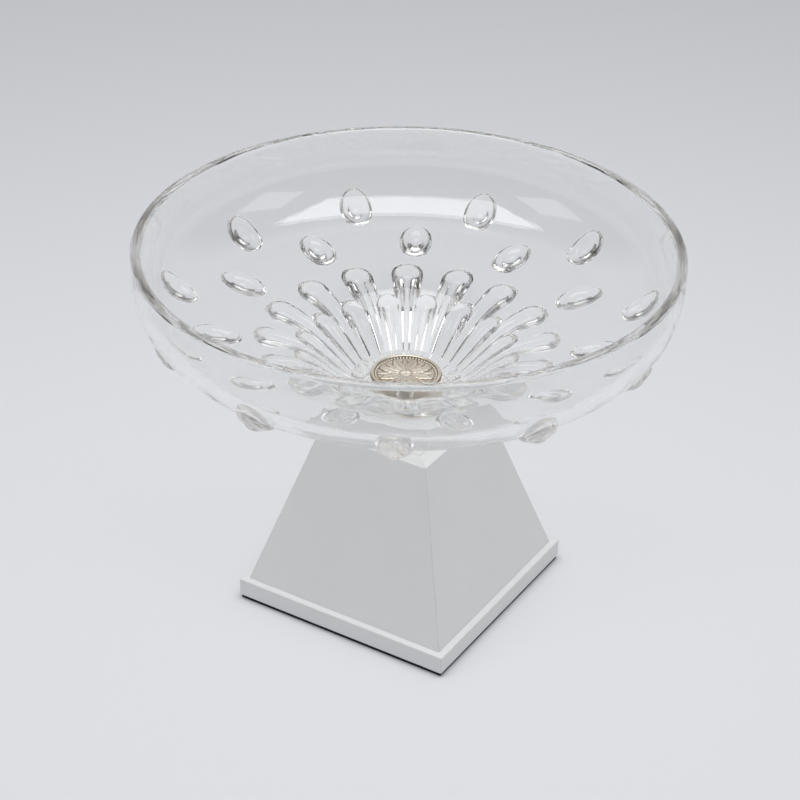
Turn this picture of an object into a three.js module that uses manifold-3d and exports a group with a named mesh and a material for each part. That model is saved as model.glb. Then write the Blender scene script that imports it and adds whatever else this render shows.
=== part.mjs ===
// Glass bowl on a pedestal: a heavy moulded crystal bowl with drops and fluting on its outside,
// clamped by a stud and a cast medallion to a white lacquered wooden pyramid.
// Millimetres, +Z up, the front face looks along -Y.
// The origin is on the surface that the felt stands on, under the bowl's axis.
import * as THREE from "three";
import { mergeVertices } from "three/addons/utils/BufferGeometryUtils.js";
import Module from "manifold-3d";

const wasm = await Module();
wasm.setup();

// Pedestal sizes
const feltThick = 2.4;
const feltInset = 1; // the felt stops this far inside the plinth's edge
const plinthSide = 150;
const plinthThick = 12;
const plinthEase = 1; // rounding of the plinth's edges
const plinthMargin = 4.5; // bare ledge of the plinth round the pyramid
const pyramidTopSide = 77;
const pyramidHeight = 105;
const panelThick = 10; // measured square to the face
const arris = 1.6; // width taken off each sloping corner
const topBoardThick = 12;
const blockLeg = 24; // side of a corner block's triangle
const accessRadius = 15; // hole in the plinth for the socket spanner

// Fixing sizes
const studRadius = 4;
const studTail = 4; // thread left below the nut
const washerRadius = 12;
const washerThick = 1.6;
const springWasherRadius = 7.2;
const springWasherThick = 2;
const springWasherGap = 2.4; // width of the cut
const nutAcrossFlats = 13;
const nutThick = 6.5;
const sleeveWall = 1.4;
const screwLength = 30;
const screwRadius = 1.9;
const screwTip = 4; // length of the point
const screwHeadRadius = 3.9;
const screwHeadRim = 0.4;
const screwHeadHeight = 2.6;
const screwSlotWidth = 0.9;
const screwSlotDepth = 0.9;
const screwRecess = 0.5; // from the plinth's underside up to the head
const screwInset = 6.5; // from a corner block's two outer faces, halfway along the screw's hold

// Seat and medallion sizes
const seatDiscInset = 2; // the disc stops this far inside the foot's edge
const seatDiscThick = 1.2;
const gasketThick = 0.8;
const gasketInset = 1; // each gasket stops this far inside the piece above it
const medallionRadius = 22;
const medallionThick = 2.4;
const medallionChamfer = 0.8;
const medallionRim = 2.4; // width of the raised border
const medallionRelief = 1.2; // height of the border and the boss
const leafCount = 8;
const leafWidth = 7.4;
const leafHeight = 0.9;
const leafGap = 1; // bare metal between the leaves' tips and the border
const bossRadius = 4.6;

// Bowl sizes
const rimRadius = 165;
const bowlHeight = 123.8; // underside of the foot to the rim
const rimThick = 6.8;
const wallHeight = 15.6; // upright part of the wall, under the rim
const shoulderRadius = 46; // outer bend between wall and floor
const floorSlope = THREE.MathUtils.degToRad(12);
const floorThick = 7.2; // glass at the shoulder
const floorReach = 0.78; // share of the floor that keeps near the shoulder's slope
const footRadius = 26;
const footEdge = 1.5;
const neckFlare = 2; // the foot widens by this much up to the neck
const neckHeight = 12; // where the foot runs out into the underside
const neckSweep = { out: 41.5, up: 38.1 }; // how the underside leaves the neck
const wellRadius = 34; // flat place inside, where the medallion sits
const wellHeight = 29.5; // from the underside of the foot
const wellSweep = { out: 33.4, up: 27.7 }; // how the inside leaves the well
const dropCount = 11; // drops in each ring
const dropLength = 30;
const dropWidth = 20.5;
const dropHeight = 5.6;
const outerDropInset = 18.5; // from the rim's edge to the middle of a drop
const innerDropInset = 49;
const dropTurn = THREE.MathUtils.degToRad(20.6); // angle of the first inner drop from +X
const fluteCount = 16; // long flutes, and as many short ones between them
const fluteTurn = THREE.MathUtils.degToRad(8.9);
const fluteSetback = { long: 7, short: 30 }; // bare glass between a flute's head and the inner drops
const fluteWidth = { long: 20, short: 16 };
const fluteHeight = { long: 7, short: 6.2 };
const fluteRoot = 3; // from the neck to where the flutes begin

// Clearances
const contact = 0.02; // between flat faces that rest on each other
const fit = 0.3; // between a piece and what it passes through or is glued into

// Resolution
const bowlSegments = 64;
const medallionSegments = 48;
const roundSegments = 32;
const smallSegments = 24;
const curveSteps = 4; // points along a curve; an arc gets twice as many
const undersideSteps = 60; // points along the underside, for the places of the drops and flutes
const dropFacets = { round: 10, high: 6 };
const fluteSides = 8;
const leafFacets = { round: 8, high: 6 };
const bossFacets = { round: 12, high: 8 };

// Places worked out from the sizes
const plinthBase = feltThick + contact;
const pyramidBase = plinthBase + plinthThick + contact;
const pyramidTop = pyramidBase + pyramidHeight;
const footHalf = plinthSide / 2 - plinthMargin; // half the pyramid's side at its base
const topHalf = pyramidTopSide / 2;
const lean = (footHalf - topHalf) / pyramidHeight; // how far a face leans in for each millimetre of height
const panelWidth = panelThick * Math.hypot(1, lean); // the panel's thickness on the level
const seatDiscBase = pyramidTop + contact;
const footGasketBase = seatDiscBase + seatDiscThick + contact;
const bowlBase = footGasketBase + gasketThick + contact;
const capGasketBase = bowlBase + wellHeight + contact;
const medallionBase = capGasketBase + gasketThick + contact;
const studHole = studRadius + fit;
const sleeveRadius = studHole + sleeveWall;
const boreRadius = sleeveRadius + fit;
const neckRadius = footRadius + neckFlare;
const outerDropRing = rimRadius - outerDropInset;
const innerDropRing = rimRadius - innerDropInset;
const fluteStart = neckRadius + fluteRoot;
const fluteLimit = innerDropRing - dropLength / 2; // the inner drops begin here
const topBoardBase = pyramidTop - topBoardThick;
const washerBase = topBoardBase - contact - washerThick;
const springWasherBase = washerBase - contact - springWasherThick;
const nutBase = springWasherBase - contact - nutThick;
const quarters = [[1, -1], [1, 1], [-1, 1], [-1, -1]]; // the pyramid's corners, as signs of X and Y

// Finishes
const finish = {
  crystal: { color: 0xf6f8fa, roughness: 0.02, metalness: 0, transparent: true, opacity: 0.35 },
  champagneGilt: { color: 0xcbb796, roughness: 0.26, metalness: 1 },
  whiteLacquer: { color: 0xe6e6e4, roughness: 0.45, metalness: 0 },
  rawBoard: { color: 0xb08d63, roughness: 0.85, metalness: 0 },
  navyFelt: { color: 0x14181f, roughness: 1, metalness: 0 },
  zincSteel: { color: 0xb9bcc0, roughness: 0.35, metalness: 1 },
  brass: { color: 0xc9a961, roughness: 0.3, metalness: 1 },
  clearSilicone: { color: 0xe4e6e8, roughness: 0.3, metalness: 0, transparent: true, opacity: 0.5 },
  naturalNylon: { color: 0xefeee8, roughness: 0.5, metalness: 0 },
};

const bowlOnPedestal = new THREE.Group();

function add(name, geometry, look, z = 0) {
  const mesh = new THREE.Mesh(geometry, new THREE.MeshStandardMaterial(look));
  mesh.name = name;
  mesh.position.z = z;
  bowlOnPedestal.add(mesh);
  return mesh;
}

// A closed geometry as a manifold-3d solid: vertices merged, and slivers at poles left out.
function solid(geometry) {
  const bare = geometry.index ? geometry.toNonIndexed() : geometry.clone();
  bare.deleteAttribute("normal");
  bare.deleteAttribute("uv");
  const merged = mergeVertices(bare, 1e-3);
  const corners = [];
  for (let i = 0; i < merged.index.count; i += 3) {
    const [a, b, c] = [0, 1, 2].map((k) => merged.index.getX(i + k));
    if (a !== b && b !== c && c !== a) corners.push(a, b, c);
  }
  const vertProperties = merged.attributes.position.array;
  const triVerts = new Uint32Array(corners);
  return new wasm.Manifold(new wasm.Mesh({ numProp: 3, vertProperties, triVerts }));
}

function surface(vertices, index) {
  const geometry = new THREE.BufferGeometry();
  geometry.setAttribute("position", new THREE.Float32BufferAttribute(vertices, 3));
  geometry.setIndex(index);
  geometry.computeVertexNormals();
  return geometry;
}

function geometryOf(shape) {
  const mesh = shape.getMesh();
  return surface(mesh.vertProperties, Array.from(mesh.triVerts));
}

// A profile of [radius, height] points turned about Z.
function turned(points, segments = roundSegments) {
  const profile = points.map(([r, z]) => new THREE.Vector2(r, z));
  return new THREE.LatheGeometry(profile, segments).rotateX(Math.PI / 2);
}

// A plain ring, or a disc with a hole, standing on z = 0.
function ring(inner, outer, height, segments = roundSegments) {
  return turned([[inner, 0], [outer, 0], [outer, height], [inner, height], [inner, 0]], segments);
}

function cylinder(radius, low, high, segments = roundSegments) {
  return turned([[0, low], [radius, low], [radius, high], [0, high]], segments);
}

// A solid between two level polygons with the same number of corners, both listed anticlockwise from above.
function prismatoid(low, zLow, high, zHigh) {
  const n = low.length;
  const vertices = [...low.map(([x, y]) => [x, y, zLow]), ...high.map(([x, y]) => [x, y, zHigh])];
  const index = [];
  for (let i = 0; i < n; i += 1) {
    const next = (i + 1) % n;
    index.push(i, next, n + next, i, n + next, n + i);
  }
  for (let i = 1; i < n - 1; i += 1) {
    index.push(0, i + 1, i, n, n + i, n + i + 1);
  }
  return surface(vertices.flat(), index);
}

function square(half) {
  return [[-half, -half], [half, -half], [half, half], [-half, half]];
}

// From the axis to the panels' inner faces, at a height.
function insideHalf(z) {
  return footHalf - (z - pyramidBase) * lean - panelWidth;
}

// Crystal bowl

// The shoulder's bend: outside and inside are arcs about one centre, and both run on into the sloping floor.
const bend = { r: rimRadius - shoulderRadius, z: bowlHeight - wallHeight, end: floorSlope - Math.PI / 2 };

function bendEnd(radius) {
  return { r: bend.r + radius * Math.cos(bend.end), z: bend.z + radius * Math.sin(bend.end) };
}

// The moulded outside, from the foot's edge out to the top of the wall, as a path of radius and height.
function outsidePath() {
  const floor = bendEnd(shoulderRadius);
  const reach = (floor.r - neckRadius) * floorReach;
  const path = new THREE.Path();
  path.moveTo(footRadius - footEdge, 0);
  path.lineTo(footRadius, footEdge);
  path.lineTo(neckRadius, neckHeight);
  path.bezierCurveTo(
    neckRadius + neckSweep.out, neckHeight + neckSweep.up,
    floor.r - reach * Math.cos(floorSlope), floor.z - reach * Math.sin(floorSlope),
    floor.r, floor.z,
  );
  path.absarc(bend.r, bend.z, shoulderRadius, bend.end, 0, false);
  return path;
}

// The smooth inside, from the lip in to the edge of the flat well.
function insidePath() {
  const innerBend = shoulderRadius - floorThick;
  const floor = bendEnd(innerBend);
  const reach = (floor.r - wellRadius) * floorReach;
  const path = new THREE.Path();
  path.moveTo(rimRadius - rimThick, bowlHeight - rimThick / 2);
  path.absarc(bend.r, bend.z, innerBend, 0, bend.end, true);
  path.bezierCurveTo(
    floor.r - reach * Math.cos(floorSlope), floor.z - reach * Math.sin(floorSlope),
    wellRadius + wellSweep.out, wellHeight + wellSweep.up,
    wellRadius, wellHeight,
  );
  return path;
}

function lipPath() {
  const lip = rimThick / 2;
  const path = new THREE.Path();
  path.absarc(rimRadius - lip, bowlHeight - lip, lip, 0, Math.PI, false);
  return path;
}

// The plain bowl under the drops and flutes, with the hole for the stud's sleeve.
function bowlBody() {
  const curves = [outsidePath(), lipPath(), insidePath()].flatMap((path) => path.getPoints(curveSteps));
  const bore = [boreRadius, 0];
  const profile = [bore, ...curves.map((p) => [p.x, p.y]), [boreRadius, wellHeight], bore];
  const apart = ([r, z], i) => i === 0 || Math.hypot(r - profile[i - 1][0], z - profile[i - 1][1]) > 0.01;
  return turned(profile.filter(apart), bowlSegments);
}

// Where the underside lies at a radius, and how it slopes there.
const underside = outsidePath().getPoints(undersideSteps).filter((p) => p.x >= neckRadius);
function undersideAt(radius) {
  const next = underside.findIndex((p) => p.x >= radius);
  const [a, b] = [underside[next - 1], underside[next]];
  const share = (radius - a.x) / (b.x - a.x);
  return { z: a.y + share * (b.y - a.y), slope: Math.atan2(b.y - a.y, b.x - a.x) };
}

// An oval drop that stands out of the underside, long way along the radius.
function drop(radius, angle) {
  const { z, slope } = undersideAt(radius);
  return new THREE.SphereGeometry(1, dropFacets.round, dropFacets.high)
    .rotateX(Math.PI / 2)
    .scale(dropLength / 2, dropWidth / 2, dropHeight)
    .rotateY(-slope)
    .translate(radius, 0, z)
    .rotateZ(angle);
}

// A flute: a rounded rib along the underside that widens from the neck to a round head.
// Its sections are ellipses square to the radius, and each end closes to a point.
function flute(kind, angle) {
  const head = fluteWidth[kind] / 2;
  const tip = fluteLimit - fluteSetback[kind];
  const headStart = tip - head;
  const shank = [0, 1 / 3, 2 / 3, 1].map((share) => fluteStart + (headStart - fluteStart) * share);
  const rounds = [0.64, 0.93].map((share) => headStart + head * share);
  const point = (r) => [r, 0, undersideAt(r).z];
  const sections = [...shank, ...rounds].map((r) => {
    const widening = Math.min(r / headStart, 1);
    const closing = Math.sqrt(1 - Math.max((r - headStart) / head, 0) ** 2);
    const half = head * widening * closing;
    const tall = fluteHeight[kind] * Math.sqrt(widening) * closing;
    return Array.from({ length: fluteSides }, (_, k) => {
      const turn = (k * 2 * Math.PI) / fluteSides;
      return [r, half * Math.cos(turn), undersideAt(r).z + tall * Math.sin(turn)];
    });
  });
  const vertices = [point(fluteStart - fluteRoot / 2), ...sections.flat(), point(tip)];
  const last = vertices.length - 1;
  const index = [];
  for (let k = 0; k < fluteSides; k += 1) {
    const next = (k + 1) % fluteSides;
    index.push(0, 1 + next, 1 + k);
    for (let start = 1; start < last - fluteSides; start += fluteSides) {
      index.push(start + k, start + next, start + fluteSides + next);
      index.push(start + k, start + fluteSides + next, start + fluteSides + k);
    }
    index.push(last, last - fluteSides + k, last - fluteSides + next);
  }
  return surface(vertices.flat(), index).rotateZ(angle);
}

function glassBowl() {
  let bowl = solid(bowlBody());
  const dropStep = (2 * Math.PI) / dropCount;
  for (let i = 0; i < dropCount; i += 1) {
    bowl = bowl.add(solid(drop(innerDropRing, dropTurn + i * dropStep)));
    bowl = bowl.add(solid(drop(outerDropRing, dropTurn + (i + 0.5) * dropStep)));
  }
  const fluteStep = (2 * Math.PI) / fluteCount;
  for (let i = 0; i < fluteCount; i += 1) {
    bowl = bowl.add(solid(flute("long", fluteTurn + i * fluteStep)));
    bowl = bowl.add(solid(flute("short", fluteTurn + (i + 0.5) * fluteStep)));
  }
  return geometryOf(bowl);
}

add("glass_bowl", glassBowl(), finish.crystal, bowlBase);

// Medallion: a cast disc with a raised border and a rosette of leaves round a boss
function medallion() {
  const border = medallionRadius - medallionRim;
  const top = medallionThick + medallionRelief;
  const profile = [
    [0, 0], [medallionRadius - medallionChamfer, 0], [medallionRadius, medallionChamfer],
    [medallionRadius, medallionThick], [medallionRadius - medallionRim / 2, top],
    [border, medallionThick], [0, medallionThick],
  ];
  let disc = solid(turned(profile, medallionSegments));
  const [leafRoot, leafTip] = [bossRadius / 2, border - leafGap];
  for (let i = 0; i < leafCount; i += 1) {
    const leaf = new THREE.SphereGeometry(1, leafFacets.round, leafFacets.high)
      .scale((leafTip - leafRoot) / 2, leafWidth / 2, leafHeight)
      .translate((leafTip + leafRoot) / 2, 0, medallionThick)
      .rotateZ((i * 2 * Math.PI) / leafCount);
    disc = disc.add(solid(leaf));
  }
  const boss = new THREE.SphereGeometry(1, bossFacets.round, bossFacets.high)
    .scale(bossRadius, bossRadius, medallionRelief)
    .translate(0, 0, medallionThick);
  return geometryOf(disc.add(solid(boss)));
}

add("medallion", medallion(), finish.champagneGilt, medallionBase);
const capGasket = ring(studHole, medallionRadius - gasketInset, gasketThick);
add("medallion_gasket", capGasket, finish.clearSilicone, capGasketBase);

// Stud under the medallion, down through the glass and the top board
const studBase = nutBase - studTail;
const studTop = medallionBase - contact;
add("centre_stud", cylinder(studRadius, studBase, studTop, smallSegments), finish.brass);

// Sleeve that keeps the stud off the glass
const sleeveLength = bowlBase + wellHeight - fit - footGasketBase;
const sleeve = ring(studHole, sleeveRadius, sleeveLength, smallSegments);
add("bore_sleeve", sleeve, finish.naturalNylon, footGasketBase);

// Seat between the glass foot and the pedestal: a clear gasket on a thin gilt disc
const footGasket = ring(boreRadius, footRadius - footEdge - gasketInset, gasketThick);
add("foot_gasket", footGasket, finish.clearSilicone, footGasketBase);
const seatDisc = ring(studHole, footRadius - seatDiscInset, seatDiscThick);
add("seat_disc", seatDisc, finish.champagneGilt, seatDiscBase);

// Pyramid: four mitred panels with eased corners

// The front panel's level outline, where the pyramid's half side has a given length.
function panelOutline(half) {
  const mitre = (fit / 2) * Math.SQRT2;
  const inner = half - panelWidth;
  const right = [
    [half - arris, -half],
    [half - arris / 2 - mitre, -half + arris / 2],
    [inner - mitre, -inner],
  ];
  const left = right.map(([x, y]) => [-x, y]).reverse();
  return [...right, ...left];
}

["front", "right", "back", "left"].forEach((side, quarter) => {
  const panel = prismatoid(panelOutline(footHalf), pyramidBase, panelOutline(topHalf), pyramidTop);
  add(`panel_${side}`, panel.rotateZ((quarter * Math.PI) / 2), finish.whiteLacquer);
});

// Top board, let in flush between the panels, with edges bevelled to their inner faces
function topBoard() {
  const low = square(insideHalf(topBoardBase) - fit);
  const high = square(insideHalf(pyramidTop) - fit);
  const board = solid(prismatoid(low, topBoardBase, high, pyramidTop));
  const hole = cylinder(studHole, topBoardBase - 1, pyramidTop + 1, smallSegments);
  return geometryOf(board.subtract(solid(hole)));
}

add("top_board", topBoard(), finish.whiteLacquer);

// Screws up through the plinth into the corner blocks
const screwBase = plinthBase + screwRecess;
const screwHold = (pyramidBase + screwBase + screwLength) / 2; // height halfway along the thread in the block
const screwPlace = insideHalf(screwHold) - fit - screwInset;

// A countersunk screw's outline, grown all round by a gap.
function screwProfile(gap) {
  return [
    [0, -gap], [screwHeadRadius + gap, -gap], [screwHeadRadius + gap, screwHeadRim],
    [screwRadius + gap, screwHeadHeight + gap], [screwRadius + gap, screwLength - screwTip + gap],
    [0, screwLength + gap],
  ];
}

function plinthScrew() {
  const slot = new THREE.BoxGeometry(4 * screwHeadRadius, screwSlotWidth, 2 * screwSlotDepth);
  return geometryOf(solid(turned(screwProfile(0), smallSegments)).subtract(solid(slot)));
}

// The screw's hole at a corner, its mouth carried down through the plinth's underside.
function screwHole([sx, sy]) {
  const mouth = -screwRecess - 1;
  const [, , ...upper] = screwProfile(fit);
  const profile = [[0, mouth], [screwHeadRadius + fit, mouth], ...upper];
  return solid(turned(profile, smallSegments).translate(sx * screwPlace, sy * screwPlace, screwBase));
}

// Glue blocks in the pyramid's inner corners, which also carry the top board
function cornerBlock(corner) {
  const [sx, sy] = corner;
  const top = topBoardBase - contact;
  const outline = (z) => {
    const far = insideHalf(z) - fit;
    const triangle = [[far, far], [far - blockLeg, far], [far, far - blockLeg]];
    const placed = triangle.map(([x, y]) => [sx * x, sy * y]);
    return sx * sy > 0 ? placed : placed.reverse();
  };
  const block = solid(prismatoid(outline(pyramidBase), pyramidBase, outline(top), top));
  return geometryOf(block.subtract(screwHole(corner)));
}

quarters.forEach((corner, i) => {
  add(`corner_block_${i + 1}`, cornerBlock(corner), finish.rawBoard);
  const screw = add(`plinth_screw_${i + 1}`, plinthScrew(), finish.zincSteel, screwBase);
  screw.position.x = corner[0] * screwPlace;
  screw.position.y = corner[1] * screwPlace;
});

// Plinth: a square board with eased edges, the spanner's access hole and four countersunk screw holes
function plinth() {
  const outline = square(plinthSide / 2 - plinthEase).map(([x, y]) => new THREE.Vector2(x, y));
  const slab = new THREE.ExtrudeGeometry(new THREE.Shape(outline), {
    depth: plinthThick - 2 * plinthEase,
    bevelThickness: plinthEase,
    bevelSize: plinthEase,
    bevelSegments: 3,
  });
  let board = solid(slab.translate(0, 0, plinthBase + plinthEase));
  board = board.subtract(solid(cylinder(accessRadius, plinthBase - 1, pyramidBase + 1)));
  for (const corner of quarters) {
    board = board.subtract(screwHole(corner));
  }
  return geometryOf(board);
}

add("plinth", plinth(), finish.whiteLacquer);

// Felt pad glued under the plinth, which also hides the access hole
const feltSide = plinthSide - 2 * feltInset;
add("felt_pad", new THREE.BoxGeometry(feltSide, feltSide, feltThick), finish.navyFelt, feltThick / 2);

// Washer, spring washer and nut that clamp the stud inside the pyramid
add("stud_washer", ring(studHole, washerRadius, washerThick), finish.zincSteel, washerBase);

function springWasher() {
  const half = springWasherGap / 2 / springWasherRadius;
  const split = new THREE.Shape();
  split.absarc(0, 0, springWasherRadius, half, 2 * Math.PI - half, false);
  split.absarc(0, 0, studHole, 2 * Math.PI - 2 * half, 2 * half, true);
  return new THREE.ExtrudeGeometry(split, {
    depth: springWasherThick,
    bevelEnabled: false,
    curveSegments: smallSegments,
  });
}

add("spring_washer", springWasher(), finish.zincSteel, springWasherBase);

function hexNut() {
  const corners = [0, 1, 2, 3, 4, 5].map((i) => {
    const turn = (i * Math.PI) / 3;
    return new THREE.Vector2(Math.cos(turn), Math.sin(turn)).multiplyScalar(nutAcrossFlats / Math.sqrt(3));
  });
  const hexagon = new THREE.Shape(corners);
  const bore = new THREE.Path();
  bore.absarc(0, 0, studHole, 0, 2 * Math.PI, true);
  hexagon.holes.push(bore);
  return new THREE.ExtrudeGeometry(hexagon, {
    depth: nutThick,
    bevelEnabled: false,
    curveSegments: smallSegments,
  });
}

add("stud_nut", hexNut(), finish.zincSteel, nutBase);

export default bowlOnPedestal;
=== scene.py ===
# Glass bowl on a white lacquered pyramid, clamped by a stud under a gilt medallion.
# Sizes are in millimetres unless a comment says otherwise. Meshes are turned into metres as they are made.
import math

import bmesh
import bpy
import numpy as np
from mathutils import Matrix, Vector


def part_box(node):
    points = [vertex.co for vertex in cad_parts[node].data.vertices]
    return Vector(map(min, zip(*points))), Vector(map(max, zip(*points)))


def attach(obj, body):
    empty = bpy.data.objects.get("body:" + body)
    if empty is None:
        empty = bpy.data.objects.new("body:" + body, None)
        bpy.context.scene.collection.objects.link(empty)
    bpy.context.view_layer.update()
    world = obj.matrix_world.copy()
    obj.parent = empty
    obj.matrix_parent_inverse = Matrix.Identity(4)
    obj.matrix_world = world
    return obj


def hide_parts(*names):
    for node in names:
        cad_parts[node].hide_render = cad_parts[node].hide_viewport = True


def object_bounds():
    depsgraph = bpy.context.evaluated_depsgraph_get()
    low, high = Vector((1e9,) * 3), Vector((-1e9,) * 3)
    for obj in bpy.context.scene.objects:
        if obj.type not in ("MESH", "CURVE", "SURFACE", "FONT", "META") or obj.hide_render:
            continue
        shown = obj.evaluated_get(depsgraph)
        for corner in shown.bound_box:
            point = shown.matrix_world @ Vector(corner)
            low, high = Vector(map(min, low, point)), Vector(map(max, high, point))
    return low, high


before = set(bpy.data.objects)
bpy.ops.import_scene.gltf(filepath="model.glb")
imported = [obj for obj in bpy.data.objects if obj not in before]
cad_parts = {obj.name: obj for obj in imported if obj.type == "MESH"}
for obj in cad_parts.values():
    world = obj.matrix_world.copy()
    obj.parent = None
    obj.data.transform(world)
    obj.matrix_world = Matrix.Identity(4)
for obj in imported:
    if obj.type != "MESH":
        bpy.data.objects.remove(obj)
cad_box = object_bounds()
scene = bpy.context.scene

# Camera
# A long lens looks down at the bowl from the photograph's side, with the picture turned by a degree or so.
lens_focal = 102.12
sensor_width = 36
camera_turn = math.radians(31.1)  # from straight in front, round to the right
camera_rise = math.radians(31.66)
camera_roll = math.radians(1.27)
camera_far = 1.40173  # metres from the point that it looks at
camera_target = np.array([-0.002843, -0.001715, 0.135])


def matrix_of(x, y, z, place):
    """A matrix from three directions and a place in metres."""
    matrix = np.eye(4)
    matrix[:3] = np.column_stack([x, y, z, place])
    return Matrix(matrix)


def camera_axes(turn, rise, roll):
    """The camera's right, up and backward directions, from two angles and a roll about its line of sight."""
    back = np.array([
        math.sin(turn) * math.cos(rise),
        -math.cos(turn) * math.cos(rise),
        math.sin(rise),
    ])
    level = np.array([math.cos(turn), math.sin(turn), 0.0])
    upright = np.cross(back, level)
    right = math.cos(roll) * level + math.sin(roll) * upright
    up = -math.sin(roll) * level + math.cos(roll) * upright
    return right, up, back


lens = bpy.data.cameras.new("camera")
lens.lens = lens_focal
lens.sensor_width = sensor_width
lens.clip_start = 0.05
lens.clip_end = 50
camera = bpy.data.objects.new("camera", lens)
scene.collection.objects.link(camera)
right, up, back = camera_axes(camera_turn, camera_rise, camera_roll)
camera.matrix_world = matrix_of(right, up, back, camera_target + camera_far * back)
scene.camera = camera
scene.view_settings.view_transform = "Standard"

# Thick glass passes light on many times, so paths through it are kept long. What little light it would
# gather into bright patches is left out, and its shadow is let through by its material instead.
light_bounces = 24
scene.cycles.max_bounces = light_bounces
scene.cycles.glossy_bounces = light_bounces
scene.cycles.transmission_bounces = light_bounces
scene.cycles.transparent_max_bounces = light_bounces
scene.cycles.caustics_reflective = False
scene.cycles.caustics_refractive = False

# Floor
# A wide matt sheet of pale board, with the faintest unevenness, on which the object stands.
floor_half = 4000
floor_colour = (0.790, 0.794, 0.817, 1)
floor_shade = (0.778, 0.782, 0.805, 1)
materials = {}  # by the names that the record gives to their slots


def link_object(name, mesh):
    piece = bpy.data.objects.new(name, mesh)
    scene.collection.objects.link(piece)
    return piece


def mesh_of(name, points, faces, smooth=True):
    """A mesh from points in millimetres and rows of corner numbers."""
    mesh = bpy.data.meshes.new(name)
    mesh.from_pydata((points * 0.001).tolist(), [], np.asarray(faces).tolist())
    mesh.polygons.foreach_set("use_smooth", [smooth] * len(mesh.polygons))
    mesh.update()
    return mesh


def plug(tree, node, inputs):
    """Sets a node's inputs to plain values, or links those that are given as another node's output."""
    for label, value in inputs.items():
        if isinstance(value, bpy.types.NodeSocket):
            tree.links.new(value, node.inputs[label])
        else:
            node.inputs[label].default_value = value


def put(tree, kind, inputs, **settings):
    """Adds a node with its settings and inputs, and returns its first output."""
    node = tree.nodes.new(kind)
    for label, value in settings.items():
        setattr(node, label, value)
    plug(tree, node, inputs)
    return next(output for output in node.outputs if output.enabled)


def material_of(name):
    """A new material: its tree, its Principled shader, and the coordinates of the piece itself, in metres."""
    materials[name] = bpy.data.materials.new(name)
    materials[name].use_nodes = True
    tree = materials[name].node_tree
    place = put(tree, "ShaderNodeTexCoord", {}).node.outputs["Object"]
    return tree, tree.nodes["Principled BSDF"], place


def mixed(tree, share, first, second):
    return put(tree, "ShaderNodeMix", {"Factor": share, "A": first, "B": second}, data_type="RGBA")


def between(tree, value, low, high, start=0.0, end=1.0):
    """Maps a value that runs from start to end onto low to high."""
    inputs = {"Value": value, "From Min": start, "From Max": end, "To Min": low, "To Max": high}
    return put(tree, "ShaderNodeMapRange", inputs)


def noise(tree, place, scale, detail=2, **more):
    """Smooth noise round a half, with so many steps of finer detail."""
    return put(tree, "ShaderNodeTexNoise", {"Vector": place, "Scale": scale, "Detail": detail, **more})


floor_corners = floor_half * np.array([[-1, -1, 0], [1, -1, 0], [1, 1, 0], [-1, 1, 0]], float)
floor = link_object("floor", mesh_of("floor", floor_corners, [[0, 1, 2, 3]], smooth=False))
tree, shader, place = material_of("pale_board")
plug(tree, shader, {
    "Base Color": mixed(tree, noise(tree, place, scale=1.2), floor_colour, floor_shade),
    "Roughness": 0.9,
    "Specular IOR Level": 0.2,
})
floor.data.materials.append(materials["pale_board"])

# Felt pad
# A square of pressed wool felt, near-black navy, cut with a knife and glued under the plinth, where it also
# hides the spanner's access hole. Its faces are slightly lumpy and its cut edges slightly soft.
felt_ease = 0.4
felt_spacing = 1.5
felt_lumps = 0.07
felt_lump_size = 4.5
join_distance = 2e-6  # in metres
felt_dark = (0.004, 0.006, 0.012, 1)
felt_light = (0.016, 0.023, 0.040, 1)


def half_and_heights(node):
    """Half of a CAD node's width, and its lowest and highest points, in millimetres."""
    low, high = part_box(node)
    return (high.x - low.x) * 500, low.z * 1000, high.z * 1000


def slab(half, low, high, ease, inner):
    """The six faces of a square board: grids of points and of their directions. Each point of a plain box is
    drawn in to the ease's distance from a box that is smaller by that ease all round."""
    corner = ease * np.tan(np.linspace(0, math.pi / 4, 5))
    across = np.concatenate([-(half - ease + corner)[::-1], inner, half - ease + corner])
    thick = (high - low) / 2
    upward = np.concatenate([-(thick - ease + corner)[::-1], thick - ease + corner])
    lines = (across, across, upward)
    reach = np.array([half, half, thick])
    faces = []
    for axis in range(3):
        for side in (1, -1):
            column, row = ((axis + 1) % 3, (axis + 2) % 3)[::side]
            grid = np.empty((len(lines[row]), len(lines[column]), 3))
            grid[..., row] = lines[row][:, None]
            grid[..., column] = lines[column][None, :]
            grid[..., axis] = side * reach[axis]
            core = np.clip(grid, ease - reach, reach - ease)
            facing = (grid - core) / np.linalg.norm(grid - core, axis=-1, keepdims=True)
            faces.append((core + ease * facing + np.array([0, 0, (low + high) / 2]), facing))
    return faces


def mesh_of_grids(name, grids, marks, mark, crease):
    """One mesh from grids of points in millimetres, with a quad in each cell, facing columns x rows.
    Cells with a missing corner are left out. Points that coincide are joined, which closes seams."""
    faces = []
    start = 0
    for grid in grids:
        index = start + np.arange(grid[..., 0].size).reshape(grid.shape[:2])
        cells = np.stack([index[:-1, :-1], index[:-1, 1:], index[1:, 1:], index[1:, :-1]], -1)
        faces.append(cells.reshape(-1, 4))
        start += index.size
    points = np.concatenate([grid.reshape(-1, 3) for grid in grids])
    faces = np.concatenate(faces)
    faces = faces[~np.isnan(points[faces]).any((1, 2))]
    used, faces = np.unique(faces, return_inverse=True)
    mesh = mesh_of(name, points[used], faces.reshape(-1, 4))
    if marks is not None:
        values = np.concatenate([values.ravel() for values in marks])[used]
        mesh.attributes.new(mark, "FLOAT", "POINT").data.foreach_set("value", values)
    shape = bmesh.new()
    shape.from_mesh(mesh)
    bmesh.ops.remove_doubles(shape, verts=shape.verts, dist=join_distance)
    shape.to_mesh(mesh)
    shape.free()
    mesh.set_sharp_from_angle(angle=math.radians(crease))
    return mesh


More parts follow.
